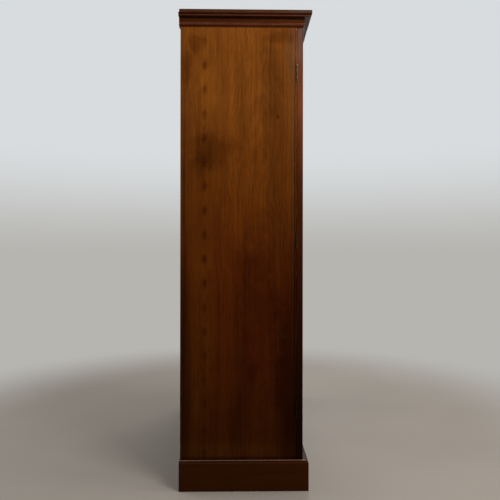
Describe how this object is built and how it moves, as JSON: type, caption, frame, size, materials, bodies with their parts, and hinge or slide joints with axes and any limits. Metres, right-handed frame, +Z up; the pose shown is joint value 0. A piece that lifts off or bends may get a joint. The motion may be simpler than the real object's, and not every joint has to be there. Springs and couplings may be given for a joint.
{
  "type": "display cabinet",
  "caption": "Tall glazed display cabinet in polished wood: moulded plinth and cornice, plain sides, two hinged doors with glazing bars, loose shelves, lock and bolts.",
  "frame": {"origin": "middle of the bounding box on the floor", "axes": "+Z up, -Y out of the glazed front, +X to the right when facing the front"},
  "size_m": [1.22, 0.4884, 1.76],
  "materials": {
    "side_mahogany": "French polished, grain upright",
    "case_mahogany": "satin polished, grain along the boards",
    "back_wood": "stained, unpolished",
    "plinth_mahogany": "French polished, darker than the sides",
    "cornice_mahogany": "French polished moulding",
    "door_mahogany": "French polished",
    "glass": "clear sheet glass",
    "brass": "aged, rubbed bright at the edges",
    "dark_plug": "dark end grain",
    "steel": "dull grey, lightly worn"
  },
  "bodies": {
    "case": {"back_bottom_rail": "back_wood", "back_muntin": "back_wood", "back_panels": "back_wood", "back_stile_left": "back_wood", "back_stile_right": "back_wood", "back_top_rail": "back_wood", "bolt_keeps": "brass", "carcass_bottom": "case_mahogany", "carcass_top": "case_mahogany", "cornice_back": "back_wood", "cornice_front": "cornice_mahogany", "cornice_left": "cornice_mahogany", "cornice_right": "cornice_mahogany", "glue_blocks": "back_wood", "hinge_jamb_leaves": "brass", "hinge_pins": "brass", "hinge_screws_case": "brass", "peg_hole_plugs": "dark_plug", "plinth_back": "back_wood", "plinth_cap_front": "plinth_mahogany", "plinth_cap_left": "plinth_mahogany", "plinth_cap_right": "plinth_mahogany", "plinth_front": "plinth_mahogany", "plinth_left": "plinth_mahogany", "plinth_right": "plinth_mahogany", "shelf_pegs": "brass", "side_panel_left": "side_mahogany", "side_panel_right": "side_mahogany", "top_board": "cornice_mahogany"},
    "door_left": {"door_left_hinge_stile": "door_mahogany", "door_left_meeting_stile": "door_mahogany", "door_left_top_rail": "door_mahogany", "door_left_bottom_rail": "door_mahogany", "door_left_glazing_bars": "door_mahogany", "door_left_glass": "glass", "door_left_glass_strips": "door_mahogany", "door_left_hinge_leaves": "brass", "hinge_screws_left_door": "brass", "bolt_cases": "brass", "strike_plate": "brass"},
    "door_right": {"door_right_hinge_stile": "door_mahogany", "door_right_meeting_stile": "door_mahogany", "door_right_top_rail": "door_mahogany", "door_right_bottom_rail": "door_mahogany", "door_right_glazing_bars": "door_mahogany", "door_right_glass": "glass", "door_right_glass_strips": "door_mahogany", "door_right_hinge_leaves": "brass", "hinge_screws_right_door": "brass", "lock_case": "steel", "lock_cap": "brass", "escutcheon": "brass"},
    "top_bolt": {"top_bolt": "brass"},
    "bottom_bolt": {"bottom_bolt": "brass"},
    "key": {"key": "steel"},
    "lock_bolt": {"lock_bolt": "brass"},
    "shelf_1": {"shelf_1": "case_mahogany"},
    "shelf_2": {"shelf_2": "case_mahogany"},
    "shelf_3": {"shelf_3": "case_mahogany"},
    "shelf_4": {"shelf_4": "case_mahogany"}
  },
  "joints": [
    {"name": "door_left_hinge", "type": "hinge", "parent": "case", "child": "door_left", "pos_m": [-0.58, -0.1915, 0.13], "axis": [0, 0, -1], "range_deg": [0, 160]},
    {"name": "door_right_hinge", "type": "hinge", "parent": "case", "child": "door_right", "pos_m": [0.58, -0.1915, 0.13], "axis": [0, 0, 1], "range_deg": [0, 160]},
    {"name": "top_bolt_slide", "type": "slide", "parent": "door_left", "child": "top_bolt", "axis": [0, 0, 1], "range_m": [0, 0.012]},
    {"name": "bottom_bolt_slide", "type": "slide", "parent": "door_left", "child": "bottom_bolt", "axis": [0, 0, -1], "range_m": [0, 0.012]},
    {"name": "key_turn", "type": "hinge", "parent": "door_right", "child": "key", "pos_m": [0.0335, -0.21425, 0.8], "axis": [0, -1, 0], "range_deg": [0, 180]},
    {"name": "lock_bolt_slide", "type": "slide", "parent": "door_right", "child": "lock_bolt", "axis": [-1, 0, 0], "range_m": [0, 0.009]},
    {"name": "shelf_1_lift", "type": "slide", "parent": "case", "child": "shelf_1", "axis": [0, 0, 1], "range_m": [0, 0.02]},
    {"name": "shelf_2_lift", "type": "slide", "parent": "case", "child": "shelf_2", "axis": [0, 0, 1], "range_m": [0, 0.02]},
    {"name": "shelf_3_lift", "type": "slide", "parent": "case", "child": "shelf_3", "axis": [0, 0, 1], "range_m": [0, 0.02]},
    {"name": "shelf_4_lift", "type": "slide", "parent": "case", "child": "shelf_4", "axis": [0, 0, 1], "range_m": [0, 0.02]}
  ],
  "couplings": [
    {"joint": "lock_bolt_slide", "follows": "key_turn", "m_per_rad": 0.0028648}
  ]
}
